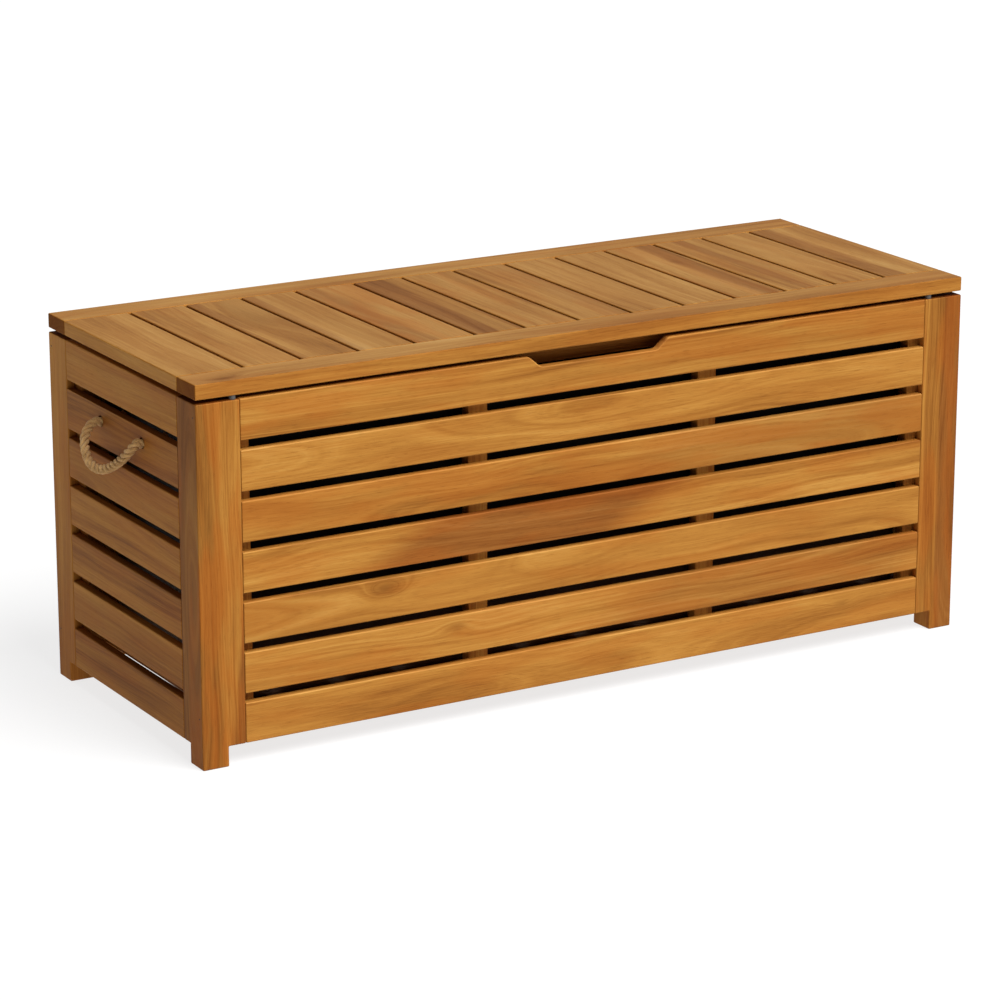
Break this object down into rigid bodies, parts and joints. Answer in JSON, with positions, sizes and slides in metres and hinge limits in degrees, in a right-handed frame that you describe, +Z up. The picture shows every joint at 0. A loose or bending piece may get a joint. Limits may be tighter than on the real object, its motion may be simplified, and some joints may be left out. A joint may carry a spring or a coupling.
{
  "type": "deck storage box",
  "caption": "Slatted hardwood deck storage box with a plank lid on rear hinges, a finger notch, a fabric liner, gas struts and two rope handles.",
  "frame": {"origin": "on the ground under the middle of the box", "axes": "+X along the box's length to the right as seen from the front, -Y towards the front, +Z up"},
  "size_m": [1.3854, 0.4971, 0.56],
  "materials": {
    "box_wood": "oiled acacia, planed, golden brown with darker streaks",
    "lid_wood": "oiled acacia, planed, golden brown",
    "inner_wood": "oiled acacia, sawn smooth",
    "zinc_steel": "zinc-plated",
    "black_steel": "satin black",
    "liner_cloth": "black coated cloth, slightly shiny",
    "black_plastic": "satin black",
    "bumper_rubber": "matt",
    "rope": "three-strand natural fibre rope"
  },
  "bodies": {
    "box": {"front_left_post": "box_wood", "front_right_post": "box_wood", "back_left_post": "box_wood", "back_right_post": "box_wood", "front_slat_1": "box_wood", "front_slat_2": "box_wood", "front_slat_3": "box_wood", "front_slat_4": "box_wood", "front_slat_5": "box_wood", "front_slat_6": "box_wood", "front_slat_7": "box_wood", "back_slat_1": "box_wood", "back_slat_2": "box_wood", "back_slat_3": "box_wood", "back_slat_4": "box_wood", "back_slat_5": "box_wood", "back_slat_6": "box_wood", "back_slat_7": "box_wood", "left_side_slats": "box_wood", "left_handle_slat": "box_wood", "right_side_slats": "box_wood", "right_handle_slat": "box_wood", "wall_uprights": "inner_wood", "wall_screws": "zinc_steel", "floor_bearers": "inner_wood", "floor_slats": "inner_wood", "liner": "liner_cloth", "liner_studs": "black_plastic", "lid_bumpers": "bumper_rubber", "hinge_box_leaves": "zinc_steel", "hinge_pins": "zinc_steel", "hinge_box_screws": "zinc_steel", "strut_box_brackets": "zinc_steel", "rope_knots": "rope"},
    "lid": {"lid_front_rail": "lid_wood", "lid_back_rail": "lid_wood", "lid_left_end_board": "lid_wood", "lid_right_end_board": "lid_wood", "lid_board_1": "lid_wood", "lid_board_2": "lid_wood", "lid_board_3": "lid_wood", "lid_board_4": "lid_wood", "lid_board_5": "lid_wood", "lid_board_6": "lid_wood", "lid_board_7": "lid_wood", "lid_board_8": "lid_wood", "lid_board_9": "lid_wood", "lid_board_10": "lid_wood", "lid_board_11": "lid_wood", "lid_board_12": "lid_wood", "lid_battens": "inner_wood", "hinge_lid_leaves": "zinc_steel", "hinge_lid_screws": "zinc_steel", "strut_lid_brackets": "zinc_steel"},
    "left_handle": {"left_rope_loop": "rope"},
    "right_handle": {"right_rope_loop": "rope"},
    "left_cylinder": {"left_strut_cylinder": "black_steel"},
    "left_rod": {"left_strut_rod": "zinc_steel"},
    "right_cylinder": {"right_strut_cylinder": "black_steel"},
    "right_rod": {"right_strut_rod": "zinc_steel"}
  },
  "joints": [
    {"name": "lid_hinge", "type": "hinge", "parent": "box", "child": "lid", "pos_m": [0, 0.2486, 0.535], "axis": [-1, 0, 0], "range_deg": [0, 95]},
    {"name": "left_handle_swing", "type": "hinge", "parent": "box", "child": "left_handle", "pos_m": [-0.658, 0, 0.43643], "axis": [0, 1, 0], "range_deg": [0, 90]},
    {"name": "right_handle_swing", "type": "hinge", "parent": "box", "child": "right_handle", "pos_m": [0.658, 0, 0.43643], "axis": [0, -1, 0], "range_deg": [0, 90]},
    {"name": "left_strut_swing", "type": "hinge", "parent": "box", "child": "left_cylinder", "pos_m": [-0.597, 0.1406, 0.35471], "axis": [-1, 0, 0], "range_deg": [0, 14.78]},
    {"name": "left_strut_slide", "type": "slide", "parent": "left_cylinder", "child": "left_rod", "axis": [0, 0.1166, 0.9932], "range_m": [0, 0.11742]},
    {"name": "right_strut_swing", "type": "hinge", "parent": "box", "child": "right_cylinder", "pos_m": [0.597, 0.1406, 0.35471], "axis": [-1, 0, 0], "range_deg": [0, 14.78]},
    {"name": "right_strut_slide", "type": "slide", "parent": "right_cylinder", "child": "right_rod", "axis": [0, 0.1166, 0.9932], "range_m": [0, 0.11742]}
  ],
  "couplings": [
    {"joint": "left_strut_swing", "follows": "lid_hinge", "ratio": 0.15545},
    {"joint": "left_strut_slide", "follows": "lid_hinge", "m_per_rad": 0.070807},
    {"joint": "right_strut_swing", "follows": "lid_hinge", "ratio": 0.15545},
    {"joint": "right_strut_slide", "follows": "lid_hinge", "m_per_rad": 0.070807}
  ]
}
